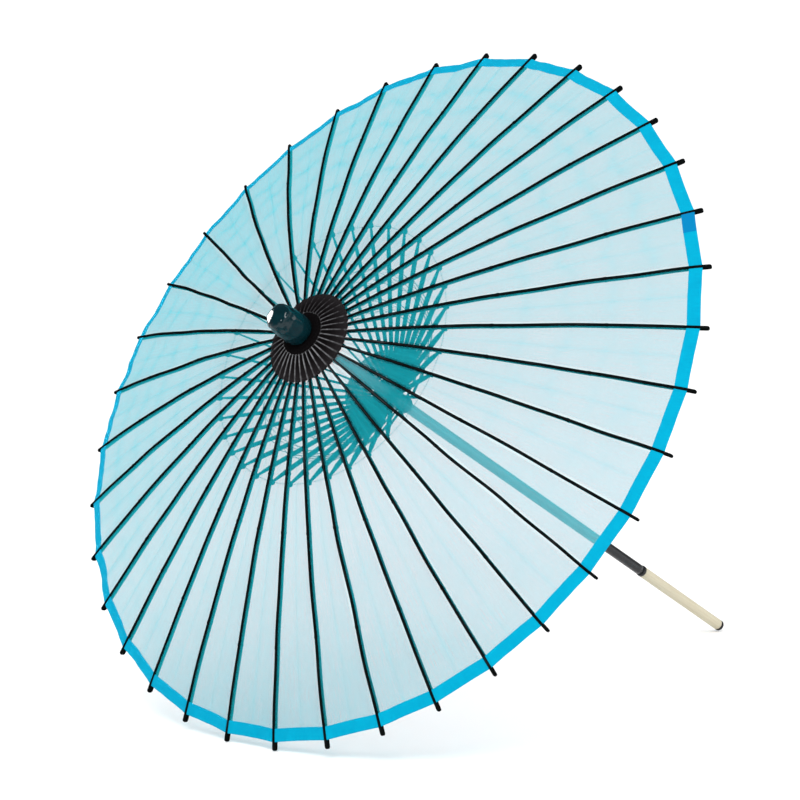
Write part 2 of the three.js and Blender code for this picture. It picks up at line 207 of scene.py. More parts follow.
def around(radius, angle, height):
    return (radius * math.cos(angle), radius * math.sin(angle), height)


def grid_faces(rows, columns, wrap):
    """Quads over a grid of rows x columns points, the columns closing on themselves if wrap is set."""
    faces = []
    for i in range(rows - 1):
        for j in range(columns if wrap else columns - 1):
            here, right = i * columns + j, i * columns + (j + 1) % columns
            faces.append((here, right, right + columns, here + columns))
    return faces


def face_outwards(mesh):
    edit = bmesh.new()
    edit.from_mesh(mesh)
    bmesh.ops.recalc_face_normals(edit, faces=edit.faces)
    edit.to_mesh(mesh)
    edit.free()


class Shape:
    """Points and faces gathered from several surfaces, with a UV in millimetres and a mark for each point."""

    def __init__(self):
        self.points, self.faces, self.uvs, self.marks = [], [], [], []

    def surface(self, points, uvs, wrap=False, capped=False, mark=None):
        rows, columns = points.shape[:2]
        first = sum(len(p) for p in self.points)
        self.points.append(points.reshape(-1, 3))
        self.uvs.append(np.asarray(uvs, float).reshape(-1, 2))
        self.marks.append(np.zeros(rows * columns) if mark is None else np.asarray(mark, float).ravel())
        faces = grid_faces(rows, columns, wrap)
        if capped:
            faces.append(tuple(range(columns))[::-1])
            faces.append(tuple((rows - 1) * columns + j for j in range(columns)))
        self.faces += [tuple(first + index for index in face) for face in faces]
        return self

    def build(self, name, material, body, slot, closed=True):
        mesh = bpy.data.meshes.new(name)
        mesh.from_pydata(frame_points(np.concatenate(self.points)).tolist(), [], self.faces)
        uvs = np.concatenate(self.uvs)
        layer = mesh.uv_layers.new(name="Millimetres")
        corners = np.zeros(len(mesh.loops), int)
        mesh.loops.foreach_get("vertex_index", corners)
        layer.data.foreach_set("uv", uvs[corners].astype(np.float32).ravel())
        marks = mesh.attributes.new("mark", "FLOAT", "POINT")
        marks.data.foreach_set("value", np.concatenate(self.marks).astype(np.float32))
        if closed:
            face_outwards(mesh)
        mesh.polygons.foreach_set("use_smooth", [True] * len(mesh.polygons))
        mesh.materials.append(material)
        made = bpy.data.objects.new(name, mesh)
        bpy.context.scene.collection.objects.link(made)
        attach(made, body)
        return made


def rounded_section(half_width, half_depth, squareness, count):
    """A closed outline between an ellipse and a rectangle, as (across, up) pairs that start underneath."""
    angles = np.linspace(-math.pi / 2, 1.5 * math.pi, count, endpoint=False)
    c, s = np.cos(angles), np.sin(angles)
    power = 2 / squareness
    return np.stack(
        [half_width * np.sign(c) * np.abs(c) ** power, half_depth * np.sign(s) * np.abs(s) ** power], axis=-1
    )


def crown_highlight_and_wear(number):
    """How grey a rib's back is painted along its crown, a painted highlight with some wear: most on the side
    where the hood's ridges are lightest too.
    """
    return 0.5 + 0.5 * math.cos(spoke_angle(number) - SHEEN_SIDE)


def bar(shape, number, stations, squareness=4.0, count=16):
    """A long bar in spoke number's plane, marked along the crown of its back.

    Stations are (middle, normal, half width, half depth, distance along, shift sideways).
    """
    rings, uvs, crown = [], [], []
    for middle, normal, half_width, half_depth, along, shift in stations:
        section = rounded_section(half_width, half_depth, squareness, count)
        rings.append(
            [(middle[0] + up * normal[0], t + shift, middle[1] + up * normal[1]) for t, up in section]
        )
        uvs.append([(j * 1.1 + number * BAR_STEP, along) for j in range(count)])
        crown.append([crown_highlight_and_wear(number) * (j == count // 2) for j in range(count)])
    return shape.surface(on_spoke(rings, number), uvs, wrap=True, capped=True, mark=crown)


def cord_along(shape, path, radius, sides=6, turn_length=2.4):
    """A thin round thread along a list of umbrella points."""
    path = np.asarray(path, float)
    steps = np.diff(path, axis=0)
    lengths = np.concatenate([[0], np.cumsum(np.linalg.norm(steps, axis=1))])
    rings, uvs = [], []
    for i, at in enumerate(path):
        forward = steps[min(i, len(steps) - 1)] + steps[max(i - 1, 0)]
        forward /= np.linalg.norm(forward)
        side = np.cross(forward, (0.31, 0.17, 0.93))
        side /= np.linalg.norm(side)
        up = np.cross(side, forward)
        angles = np.linspace(0, 2 * math.pi, sides, endpoint=False)
        rings.append([at + radius * (math.cos(a) * side + math.sin(a) * up) for a in angles])
        uvs.append([(j / sides, lengths[i] / turn_length) for j in range(sides)])
    return shape.surface(np.array(rings), uvs, wrap=True, capped=True)


def corner_round(outline, size, steps=4):
    """The outline with each inner corner replaced by a short curve."""
    points = [np.array(outline[0], float)]
    for before, at, after in zip(outline, outline[1:], outline[2:]):
        before, at, after = (np.array(p, float) for p in (before, at, after))
        reach = min(size, np.linalg.norm(at - before) * 0.45, np.linalg.norm(after - at) * 0.45)
        start = at + (before - at) / np.linalg.norm(before - at) * reach
        end = at + (after - at) / np.linalg.norm(after - at) * reach
        for i in range(steps + 1):
            f = i / steps
            points.append((1 - f) ** 2 * start + 2 * f * (1 - f) * at + f * f * end)
    points.append(np.array(outline[-1], float))
    return [tuple(p) for p in points]


# ---- materials ----
def add(tree, kind, inputs=None, **settings):
    """A shader node with its settings, each input linked or given its value."""
    made = tree.nodes.new("ShaderNode" + kind)
    for key, value in settings.items():
        setattr(made, key, value)
    for key, value in (inputs or {}).items():
        if isinstance(value, bpy.types.NodeSocket):
            tree.links.new(value, made.inputs[key])
        else:
            made.inputs[key].default_value = value
    return made


def maths(tree, operation, *values):
    return add(tree, "Math", dict(enumerate(values)), operation=operation).outputs[0]


def ramp(tree, value, stops):
    """A colour ramp from (place, colour) stops."""
    made = add(tree, "ValToRGB", {"Fac": value})
    elements = made.color_ramp.elements
    elements[0].position, elements[0].color = stops[0][0], (*stops[0][1], 1)
    elements[1].position, elements[1].color = stops[-1][0], (*stops[-1][1], 1)
    for place, colour in stops[1:-1]:
        element = elements.new(place)
        element.color = (*colour, 1)
    return made.outputs["Color"]


def noise_of(tree, vector, scale, detail, roughness=0.5):
    made = add(tree, "TexNoise", {"Vector": vector, "Scale": scale, "Detail": detail, "Roughness": roughness})
    return made.outputs["Fac"]


def scaled(tree, vector, scale):
    return add(tree, "Mapping", {"Vector": vector, "Scale": scale}).outputs["Vector"]


def new_material(name, **constants):
    made = bpy.data.materials.new(name)
    made.use_nodes = True
    shader = made.node_tree.nodes["Principled BSDF"]
    for socket, value in constants.items():
        shader.inputs[socket.replace("_", " ")].default_value = value
    return made, made.node_tree, shader


def shaft_coordinates(tree):
    """Millimetres along the umbrella's own axes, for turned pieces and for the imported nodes."""
    place = add(tree, "TexCoord").outputs["Object"]
    parts = {}
    for name, axis in (("X", axis_x), ("Y", axis_y), ("Z", axis_z)):
        dot = add(tree, "VectorMath", {0: place, 1: tuple(axis / MM)}, operation="DOT_PRODUCT")
        parts[name] = dot.outputs["Value"]
    return add(tree, "CombineXYZ", parts).outputs["Vector"]


def millimetres(tree):
    return add(tree, "UVMap", uv_map="Millimetres").outputs["UV"]


def mark_of(tree):
    return add(tree, "Attribute", attribute_name="mark").outputs["Fac"]


def map_range(tree, value, low, high, start=0.0, end=1.0):
    """The value with start..end turned into low..high, and nothing beyond."""
    limits = {"Value": value, "From Min": start, "From Max": end, "To Min": low, "To Max": high}
    return add(tree, "MapRange", limits).outputs["Result"]


def mix_colours(tree, share, first, second):
    return add(tree, "Mix", {"Factor": share, "A": first, "B": second}, data_type="RGBA").outputs["Result"]


def paint(tree, shader, colour, roughness):
    tree.links.new(colour, shader.inputs["Base Color"])
    tree.links.new(roughness, shader.inputs["Roughness"])


def bump(tree, shader, height, strength, distance):
    made = add(tree, "Bump", {"Height": height, "Strength": strength, "Distance": distance * MM})
    tree.links.new(made.outputs["Normal"], shader.inputs["Normal"])


def lacquer(name, low, high, gloss, shine=0.35, pale=None):
    """Brushed lacquer on turned wood: deep black, with a little unevenness in its gloss and surface.

    Above the rim its colour may be painted pale: a painted reflection of the light that comes back at it from
    the inside of the canopy.
    """
    made, tree, shader = new_material(name, Specular_IOR_Level=shine)
    place = shaft_coordinates(tree)
    clouds = noise_of(tree, place, 0.11, 4)
    colour = ramp(tree, clouds, [(0.3, low), (0.7, high)])
    if pale:
        height = add(tree, "SeparateXYZ", {"Vector": place}).outputs["Z"]
        start = PAINTED_REFLECTION_FROM + origin.dot(axis_z) / MM
        above = map_range(tree, height, 0.0, 1.0, start - 2.0, start + 2.0)
        colour = mix_colours(tree, above, colour, (*pale, 1))
    brushing = noise_of(tree, scaled(tree, place, (1.0, 1.0, 0.05)), 0.9, 3)
    paint(tree, shader, colour, map_range(tree, brushing, gloss, gloss + 0.14))
    bump(tree, shader, brushing, 0.25, 0.12)
    return made


def rib_lacquer(name):
    """Split bamboo under black lacquer, painted grey along the crown of each rib's back: a painted highlight,
    with some wear.
    """
    made, tree, shader = new_material(name, Specular_IOR_Level=0.0)
    place = millimetres(tree)
    crown = mark_of(tree)
    fibres = noise_of(tree, scaled(tree, place, (2.2, 0.06, 1.0)), 1.0, 4, 0.6)
    patches = noise_of(tree, scaled(tree, place, (0.2, 0.05, 1.0)), 1.0, 2)
    tone = maths(tree, "ADD", maths(tree, "MULTIPLY", fibres, 0.5), maths(tree, "MULTIPLY", patches, 0.5))
    along = add(tree, "SeparateXYZ", {"Vector": place}).outputs["Y"]
    # The grey crown is a painted highlight, partly wear, strongest near the hub.
    highlit_worn_crown = maths(tree, "MULTIPLY", crown, map_range(tree, along, 1.0, 0.25, 60.0, 180.0))
    tone = maths(tree, "MULTIPLY_ADD", highlit_worn_crown, 0.5, tone)
    colours = [(0.35, (0.001, 0.0015, 0.0015)), (0.62, (0.004, 0.005, 0.005)), (1.0, (0.050, 0.049, 0.052))]
    paint(tree, shader, ramp(tree, tone, colours), map_range(tree, patches, 0.34, 0.5, 0.3, 0.7))
    bump(tree, shader, fibres, 0.35, 0.12)
    return made


def pale_wood(name, tint):
    """Plain unvarnished wood, its grain running along the shaft."""
    made, tree, shader = new_material(name, Specular_IOR_Level=0.35)
    place = shaft_coordinates(tree)
    grain = noise_of(tree, scaled(tree, place, (0.9, 0.9, 0.025)), 1.0, 5, 0.62)
    pores = noise_of(tree, scaled(tree, place, (6.0, 6.0, 0.22)), 1.0, 2)
    tone = maths(tree, "ADD", maths(tree, "MULTIPLY", grain, 0.75), maths(tree, "MULTIPLY", pores, 0.25))
    light = tuple(c * 1.03 for c in tint)
    dark = tuple(c * f for c, f in zip(tint, (0.86, 0.80, 0.70)))
    colour = ramp(tree, tone, [(0.30, dark), (0.52, tint), (0.7, light)])
    paint(tree, shader, colour, map_range(tree, pores, 0.42, 0.66))
    bump(tree, shader, tone, 0.2, 0.15)
    return made


def weave(tree, place, pitch):
    """Height of a plain weave of that pitch, from two sets of threads."""
    cycle = math.pi / pitch
    split = add(tree, "SeparateXYZ", {"Vector": place})
    warp = maths(tree, "ABSOLUTE", maths(tree, "SINE", maths(tree, "MULTIPLY", split.outputs["X"], cycle)))
    weft = maths(tree, "ABSOLUTE", maths(tree, "SINE", maths(tree, "MULTIPLY", split.outputs["Y"], cycle)))
    return maths(tree, "MAXIMUM", warp, weft)


def sheer_cloth(name):
    """Sheer silk: threads with gaps between them, which close up where the cloth is seen at a slant.

    Folds show denser, and the strips glued to the ribs show clearer.
    """
    made = bpy.data.materials.new(name)
    made.use_nodes = True
    tree = made.node_tree
    tree.nodes.clear()
    place = millimetres(tree)
    slubs = noise_of(tree, scaled(tree, place, (0.9, 0.035, 1.0)), 1.0, 4, 0.6)
    cross = noise_of(tree, scaled(tree, place, (0.05, 0.8, 1.0)), 1.0, 3, 0.6)
    clouds = noise_of(tree, place, 0.02, 3)
    threads = weave(tree, place, 0.55)
    mark = mark_of(tree)
    crease = maths(tree, "MAXIMUM", mark, 0.0)
    glued = maths(tree, "MAXIMUM", maths(tree, "MULTIPLY", mark, -1.0), 0.0)
    slant = add(tree, "LayerWeight", {"Blend": 0.5}).outputs["Facing"]

    cover = maths(tree, "MULTIPLY_ADD", maths(tree, "POWER", slant, 2.2), 0.42, 0.475)
    uneven = ((slubs, 0.5, 0.10), (cross, 0.5, 0.06), (clouds, 0.5, 0.08), (threads, 0.85, 0.10))
    for value, middle, amount in ((crease, 0, 0.10), (glued, 0, -0.20), *uneven):
        cover = maths(tree, "MULTIPLY_ADD", maths(tree, "SUBTRACT", value, middle), amount, cover)
    cover = add(tree, "Math", {0: cover, 1: 0.0}, operation="ADD", use_clamp=True).outputs[0]

    colour = ramp(tree, slubs, [(0.3, (0.010, 0.460, 0.555)), (0.7, (0.020, 0.530, 0.620))])
    bumped = add(tree, "Bump", {"Height": threads, "Strength": 0.25, "Distance": 0.1 * MM}).outputs["Normal"]
    front = add(tree, "BsdfDiffuse", {"Color": colour, "Normal": bumped}).outputs["BSDF"]
    back = add(tree, "BsdfTranslucent", {"Color": colour, "Normal": bumped}).outputs["BSDF"]
    silk = add(tree, "MixShader", {0: 0.45, 1: front, 2: back}).outputs["Shader"]
    gaps = mix_colours(tree, glued, (1.0, 0.73, 0.72, 1), (0.88, 0.92, 0.93, 1))
    clear = add(tree, "BsdfTransparent", {"Color": gaps}).outputs["BSDF"]
    mixed = add(tree, "MixShader", {0: cover, 1: clear, 2: silk}).outputs["Shader"]
    add(tree, "OutputMaterial", {"Surface": mixed})
    return made


def tape_cloth(name):
    """The blue tape round the rim: a dense plain weave."""
    made, tree, shader = new_material(name, Specular_IOR_Level=0.03)
    place = millimetres(tree)
    threads = weave(tree, place, 0.7)
    slubs = noise_of(tree, scaled(tree, place, (0.8, 0.1, 1.0)), 1.0, 4)
    tone = maths(tree, "MULTIPLY_ADD", threads, 0.4, maths(tree, "MULTIPLY", slubs, 0.6))
    clouds = noise_of(tree, place, 0.05, 3)
    tone = maths(tree, "MULTIPLY_ADD", maths(tree, "SUBTRACT", clouds, 0.5), 0.5, tone)
    colours = [(0.3, (0.0, 0.235, 0.395)), (0.55, (0.0, 0.272, 0.435)), (0.8, (0.0, 0.315, 0.480))]
    doubled = (0.001, 0.165, 0.365, 1)
    colour = mix_colours(tree, mark_of(tree), ramp(tree, tone, colours), doubled)
    paint(tree, shader, colour, map_range(tree, slubs, 0.65, 0.85))
    bump(tree, shader, threads, 0.35, 0.15)
    return made


def hood_cloth(name):
    """Black cotton, worn grey where it rubs over the ribs, with a painted sheen on the ridges that is
    strongest on one side.
    """
    made, tree, shader = new_material(name, Specular_IOR_Level=0.0)
    place = millimetres(tree)
    threads = weave(tree, place, 0.5)
    lint = noise_of(tree, place, 0.9, 4, 0.7)
    tone = maths(tree, "MULTIPLY_ADD", maths(tree, "SUBTRACT", lint, 0.5), 0.5, mark_of(tree))
    tone = maths(tree, "MULTIPLY_ADD", threads, 0.08, tone)
    colours = [(0.0, (0.0015, 0.0013, 0.0014)), (0.35, (0.012, 0.0105, 0.0115)), (1.0, (0.22, 0.225, 0.235))]
    paint(tree, shader, ramp(tree, tone, colours), map_range(tree, lint, 0.75, 0.95))
    bump(tree, shader, maths(tree, "ADD", threads, lint), 0.5, 0.2)
    return made


def twisted_thread(name, low, high):
    """Two-ply thread: the slanting grooves between the plies are painted dark, as painted shade."""
    made, tree, shader = new_material(name, Specular_IOR_Level=0.3)
    place = millimetres(tree)
    split = add(tree, "SeparateXYZ", {"Vector": place})
    turn = maths(tree, "MULTIPLY", maths(tree, "ADD", split.outputs["X"], split.outputs["Y"]), 2 * math.pi)
    ply = maths(tree, "MULTIPLY_ADD", maths(tree, "SINE", turn), 0.5, 0.5)
    # The grooves between the plies are painted darker: painted shade.
    paint(tree, shader, ramp(tree, ply, [(0.2, low), (0.8, high)]), map_range(tree, ply, 0.55, 0.85))
    bump(tree, shader, ply, 0.5, 0.15)
    return made


def spring_steel(name):
    made, tree, shader = new_material(name, Metallic=1.0)
    place = shaft_coordinates(tree)
    brushing = noise_of(tree, scaled(tree, place, (4.0, 4.0, 0.3)), 1.0, 3)
    steel = [(0.3, (0.38, 0.38, 0.40)), (0.7, (0.55, 0.55, 0.56))]
    paint(tree, shader, ramp(tree, brushing, steel), map_range(tree, brushing, 0.24, 0.42))
    bump(tree, shader, brushing, 0.2, 0.05)
    return made


# The pale colour given for the shaft above the rim is a painted reflection.
SHAFT_LACQUER = lacquer(
    "shaft_lacquer", (0.005, 0.006, 0.008), (0.010, 0.011, 0.013), 0.22, pale=(0.165, 0.210, 0.222)
)
CAP_LACQUER = lacquer("cap_lacquer", (0.002, 0.002, 0.003), (0.005, 0.005, 0.006), 0.30)
RUNNER_LACQUER = lacquer("runner_lacquer", (0.004, 0.004, 0.005), (0.012, 0.012, 0.013), 0.34)
# The finial's dark teal colour is a painted reflection of the cyan canopy on black lacquer.
FINIAL_TEAL_REFLECTION_LACQUER = lacquer("finial_lacquer", (0.0008, 0.010, 0.014), (0.0012, 0.017, 0.022), 0.02, 0.28)
RIB_LACQUER = rib_lacquer("rib_lacquer")
HANDLE_WOOD = pale_wood("handle_wood", (0.54, 0.50, 0.375))
HUB_WOOD = pale_wood("hub_wood", (0.66, 0.55, 0.35))
SILK = sheer_cloth("sheer_silk")
TAPE = tape_cloth("rim_tape")
HOOD = hood_cloth("hood_cotton")
BLACK_THREAD = twisted_thread("black_thread", (0.004, 0.004, 0.005), (0.03, 0.03, 0.032))
STEEL = spring_steel("spring_steel")

# ---- ribs ----
dice = random.Random(7)
pin = under_edge(PIN_RADIUS, PIN_DEPTH)
RIB_WANDER = 1.5  # scale of the noise that bends a rib sideways beyond its joint
RIB_STEPS = 58


def rib_stations(nodes, number):
    """Stations down a rib from its round head to its round tip, swollen at its bamboo nodes."""
    radii = [HUB_PIVOT_RADIUS - 2.45 * math.cos(math.radians(a)) for a in (4, 20, 40, 60, 80)]
    radii += list(np.linspace(HUB_PIVOT_RADIUS + 1, TIP_RADIUS - 2.4, RIB_STEPS))
    radii += [node + step for node in nodes for step in (-3.6, -2.2, -1.3, -0.6, 0, 0.6, 1.3, 2.2, 3.6)]
    tip_steps = [1 - math.sin(math.radians(a)) for a in (20, 40, 60, 80, 90)]
    radii += [TIP_RADIUS - 0.06 - RIB_TIP_ROUND * step for step in tip_steps]
    stations = []
    for radius in sorted(radii):
        grown = float(np.clip((radius - RIB_THIN_TO) / (RIB_FULL_FROM - RIB_THIN_TO), 0, 1))
        half_width = RIB_HEAD_HALF_WIDTH + (RIB_HALF_WIDTH - RIB_HEAD_HALF_WIDTH) * grown
        half_depth = RIB_HEAD_HALF_DEPTH + (RIB_HALF_DEPTH - RIB_HEAD_HALF_DEPTH) * grown
        middle = under_edge(radius, half_depth)
        swell = sum(0.34 * math.exp(-(((radius - node) / 1.3) ** 2)) for node in nodes)
        swell -= sum(0.16 * math.exp(-(((radius - node - 2.3) / 0.6) ** 2)) for node in nodes)
        if radius < HUB_PIVOT_RADIUS:
            half_depth *= math.sqrt(max(1 - ((HUB_PIVOT_RADIUS - radius) / 2.46) ** 2, 0.02))
        from_tip = TIP_RADIUS - radius
        if from_tip < RIB_TIP_ROUND:
            rounding = math.sqrt(max(1 - (1 - from_tip / RIB_TIP_ROUND) ** 2, 0.0))
            half_depth = half_depth - RIB_TIP_ROUND * (1 - rounding)
            half_width *= 0.45 + 0.55 * rounding
        free = smooth(PIN_RADIUS + 8, PIN_RADIUS + 50, radius)
        kink = RIB_WANDER * free * noise.noise(Vector((radius / 62, number * 2.3, 4.0)))
        half_width += swell * 0.7
        stations.append((middle, edge_normal(radius), half_width, half_depth + swell, radius, kink))
    return stations


LUG_STEPS = ((5.4, 3.2), (3.4, 1.4))  # how far along and above the pin a cheek's foot and neck lie


def lug_cheek(shape, number, side):
    """One of the two cheeks that hold the stretcher's end, as a rounded plate on one side of the slot."""
    normal = edge_normal(PIN_RADIUS)
    along = np.array([normal[1], -normal[0]])
    outline = [pin + along * out + normal * above for out, above in LUG_STEPS]
    angles = np.linspace(0.1, math.pi - 0.1, 9)
    outline += [pin + LUG_ROUND * (along * math.cos(a) - normal * math.sin(a)) for a in angles]
    outline += [pin - along * out + normal * above for out, above in LUG_STEPS[::-1]]
    middle = pin + normal * 1.0
    inner, outer = LUG_SLOT / 2, RIB_HALF_WIDTH
    rings = []
    for t, shrink in ((inner, 0.94), (inner + 0.12, 1.0), (outer - 0.18, 1.0), (outer, 0.93)):
        shrunk = [middle + (p - middle) * shrink for p in outline]
        rings.append([(radius, side * t, height) for radius, height in shrunk])
    uvs = [[(j * 1.3, t * 2.0) for j in range(len(outline))] for t in range(4)]
    shape.surface(on_spoke(rings, number), uvs, wrap=True, capped=True)


for number in SPOKES:
    nodes = [place + dice.uniform(-7, 7) for place in (92, 205, 310)]
    nodes += [PIN_RADIUS - 9 + dice.uniform(-1, 1)]
    rib = Shape()
    bar(rib, number, rib_stations(nodes, number), squareness=5.5)
    lug_cheek(rib, number, 1)
    lug_cheek(rib, number, -1)
    made = rib.build(f"rib_{number:02d}_lacquered", RIB_LACQUER, f"rib_{number:02d}", "black_rib")
    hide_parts(f"rib_{number:02d}")

# ---- stretchers: every third one is a body of its own, and its two neighbours go with it ----
foot = np.array([RUNNER_PIVOT_RADIUS, RUNNER_PIVOT_Z], float)
stretcher_length = float(np.linalg.norm(foot - pin))
stretcher_along = (foot - pin) / stretcher_length
stretcher_normal = np.array([stretcher_along[1], -stretcher_along[0]])
if stretcher_normal[1] < 0:
    stretcher_normal = -stretcher_normal


def stretcher_stations(nodes):
    ends = [STRETCHER_END_ROUND * math.sin(math.radians(a)) for a in (10, 30, 50, 70, 85)]
    places = [-end for end in ends] + [stretcher_length + end for end in ends]
    places += list(np.linspace(0, stretcher_length, 22))
    places += [node + step for node in nodes for step in (-2, -1, -0.5, 0, 0.5, 1, 2)]
    stations = []
    for place in sorted(places):
        from_end = min(place, stretcher_length - place)
        grown = float(np.clip(from_end / STRETCHER_SHOULDER, 0, 1))
        upper = STRETCHER_END_ROUND + (STRETCHER_UPPER_DEPTH - STRETCHER_END_ROUND) * grown
        lower = STRETCHER_END_ROUND + (STRETCHER_LOWER_DEPTH - STRETCHER_END_ROUND) * grown
        half_depth = (upper + lower) / 2
        if from_end < 0:
            half_depth *= math.sqrt(max(1 - (from_end / STRETCHER_END_ROUND) ** 2, 0.01))
        swell = sum(0.22 * math.exp(-(((place - node) / 0.9) ** 2)) for node in nodes)
        middle = pin + stretcher_along * place + stretcher_normal * (upper - lower) / 2
        stations.append((middle, stretcher_normal, STRETCHER_HALF_WIDTH, half_depth + swell, place, 0.0))
    return stations


def fold_with(made):
    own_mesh(made)


for number in SPOKES:
    body_number = next(k for k in CAD_STRETCHERS if abs(k - number) <= 1)
    nodes = [place + dice.uniform(-8, 8) for place in (54, 118)]
    made = bar(Shape(), number, stretcher_stations(nodes), count=12).build(
        f"stretcher_{number:02d}_lacquered", RIB_LACQUER, f"stretcher_{body_number:02d}", "black_rib"
    )
    if number == body_number:
        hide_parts(f"stretcher_{number:02d}")
    else:
        fold_with(made)

# ---- canopy: one gore for each pair of ribs ----
ACROSS = np.array([0, 0.03, 0.055, 0.09, 0.13, 0.19, 0.25, 0.31, 0.37, 0.42, 0.455, 0.48, 0.5])
ACROSS = np.concatenate([ACROSS, 1 - ACROSS[-2::-1]])


def gore_point(number, radius, u, lift, drop):
    """A point u of the way from rib number to the next, lift mm out from the cloth's line and drop mm in."""
    bow = 4 * u * (1 - u)
    normal = edge_normal(radius)
    inward = 0.6 * bow * smooth(250, BAND_OUTSIDE, radius)
    r = radius - inward + normal[0] * (lift - CLOTH_SINK - drop)
    z = edge_height(radius) + normal[1] * (lift - CLOTH_SINK - drop)
    return between_spokes([r, 0.0, z], number, u)


CROSS_CREASES = (232, 276, 318, 352)  # radii of the faint creases that run round the cloth
GLUE_FULL, GLUE_END = 1.7, 4.6  # distances from a rib's middle over which the glue thins out


def rim_wave(number, u):
    """How far the rim stands out from a straight line between two ribs."""
    slow = noise.noise(Vector((u * 2.6, number * 5.7, 1.5)))
    quick = noise.noise(Vector((u * 6, number * 3.3, 7.5)))
    return 1.6 * (slow + 0.6 * quick) * math.sqrt(4 * u * (1 - u))


def gore_relief(number, radius, u):
    """How far the cloth hangs in between two ribs, and its mark: above 0 in a fold, below 0 where glued."""
    bow = 4 * u * (1 - u)
    width = rib_spacing(radius)
    sag = 1.1 * bow * smooth(30, 260, radius)
    wander = 0.035 * noise.noise(Vector((radius / 55, number * 3.7, 0.5)))
    from_fold = (u - 0.5 - wander) * width
    strength = 0.75 + 0.5 * noise.noise(Vector((radius / 70, number * 5.1, 9.0)))
    strength *= smooth(70, 150, radius)
    fold = math.exp(-abs(from_fold) / 1.6) * strength
    wrinkle = noise.noise(Vector((radius / 75, u * width / 9, number * 7.3)))
    fine = noise.noise(Vector((radius / 30, u * width / 4, number * 2.9)))
    drop = sag + 0.55 * fold + bow * (0.32 * wrinkle + 0.10 * fine)
    near_rim = smooth(300, BAND_INSIDE, radius)
    under_hood = 1 - smooth(HOOD_RADIUS, HOOD_RADIUS + 30, radius)
    drop += 1.9 * bow * under_hood - rim_wave(number, u) * near_rim - 0.5 * sag * near_rim
    creased_side = 0.5 - 0.5 * math.cos(spoke_angle(number) - SHEEN_SIDE)
    for i, place in enumerate(CROSS_CREASES):
        at = place + 14 * noise.noise(Vector((u * 2.5, number * 1.9, i * 4.1)))
        fold += 1.6 * creased_side * bow * math.exp(-abs(radius - at) / 4.0)
    glued = 1 - smooth(GLUE_FULL, GLUE_END, min(u, 1 - u) * width)
    return drop, fold - glued


CLOTH_CLOSE = 60  # the cloth has closer rows inside this radius
cloth_radii = np.concatenate(
    [np.linspace(CLOTH_INSIDE, CLOTH_CLOSE, 8)[:-1], np.linspace(CLOTH_CLOSE, CLOTH_OUTSIDE, 60)]
)

for number in SPOKES:
    points, uvs, folds = [], [], []
    for radius in cloth_radii:
        row = [(u, *gore_relief(number, radius, u)) for u in ACROSS]
        points.append([gore_point(number, radius, u, 0.0, drop) for u, drop, _ in row])
        width = rib_spacing(radius)
        uvs.append([((u - 0.5) * width + CLOTH_STEP * number, radius * 1.06) for u in ACROSS])
        folds.append([fold for _, _, fold in row])
    shape = Shape().surface(np.array(points), uvs, mark=folds)
    made = shape.build(f"canopy_gore_{number:02d}", SILK, f"rib_{number:02d}", "cyan_cloth", closed=False)
    fold_with(made)
    if number == 1:
        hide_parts("canopy")

# ---- rim tape, folded over the cloth's edge ----
TAPE_SECTION = [
    (0.9, -0.30), (3.5, -0.32), (7, -0.32), (10.5, -0.30), (12.1, -0.24), (12.65, -0.12), (12.8, 0.0),
    (12.65, 0.12), (12.1, 0.24), (10.5, 0.30), (7, 0.34), (3.5, 0.34), (1.5, 0.32), (0.3, 0.28), (0.0, 0.12),
]
LAP_GORE, LAP_START = 12, 0.64  # the tape's two ends overlap here, up to the next rib
TAPE_ACROSS = sorted([*np.linspace(0, 1, 19), LAP_START - 0.004, LAP_START + 0.004])


def tape_strip(number):
    """The tape between two ribs, marked where its ends overlap."""
    points, uvs, doubled = [], [], []
    place = 0.0
    for i, (step, height) in enumerate(TAPE_SECTION):
        place += math.dist(TAPE_SECTION[i - 1], TAPE_SECTION[i]) if i else 0.0
        row, row_uv, row_doubled = [], [], []
        for u in TAPE_ACROSS:
            bow = 4 * u * (1 - u)
            lapped = number == LAP_GORE and u > LAP_START
            pucker = 0.22 * noise.noise(Vector((u * 9, step / 9, number * 4.3))) * bow
            drop = 0.55 * bow - pucker - rim_wave(number, u) - 0.35 * lapped
            row.append(gore_point(number, BAND_INSIDE + step, u, height, drop))
            row_uv.append((u * rib_spacing(BAND_OUTSIDE) + CLOTH_STEP * number, place))
            row_doubled.append(float(lapped))
        points.append(row)
        uvs.append(row_uv)
        doubled.append(row_doubled)
    return Shape().surface(np.array(points), uvs, mark=doubled)


for number in SPOKES:
    made = tape_strip(number).build(
        f"edge_tape_{number:02d}", TAPE, f"rib_{number:02d}", "blue_band", closed=False
    )
    fold_with(made)
    if number == 1:
        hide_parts("edge_band")

# ---- hood: a gathered disc round the finial, in sectors that go with every third rib ----
HOOD_THICKNESS = 0.5
SECTOR_MIDDLE, CROWN_MIDDLE = 38, 20  # radii at which the weave is true to size
CROWN_SEGMENTS = 216


def hood_height(radius):
    """The hood's line over the ribs, bowed between its gathered ring and its edge."""
    edge = edge_height(HOOD_RADIUS) + 0.7
    f = (radius - HOOD_RING) / (HOOD_RADIUS - HOOD_RING)
    return HOOD_RING_Z + (edge - HOOD_RING_Z) * f + 0.5 * 4 * f * (1 - f)


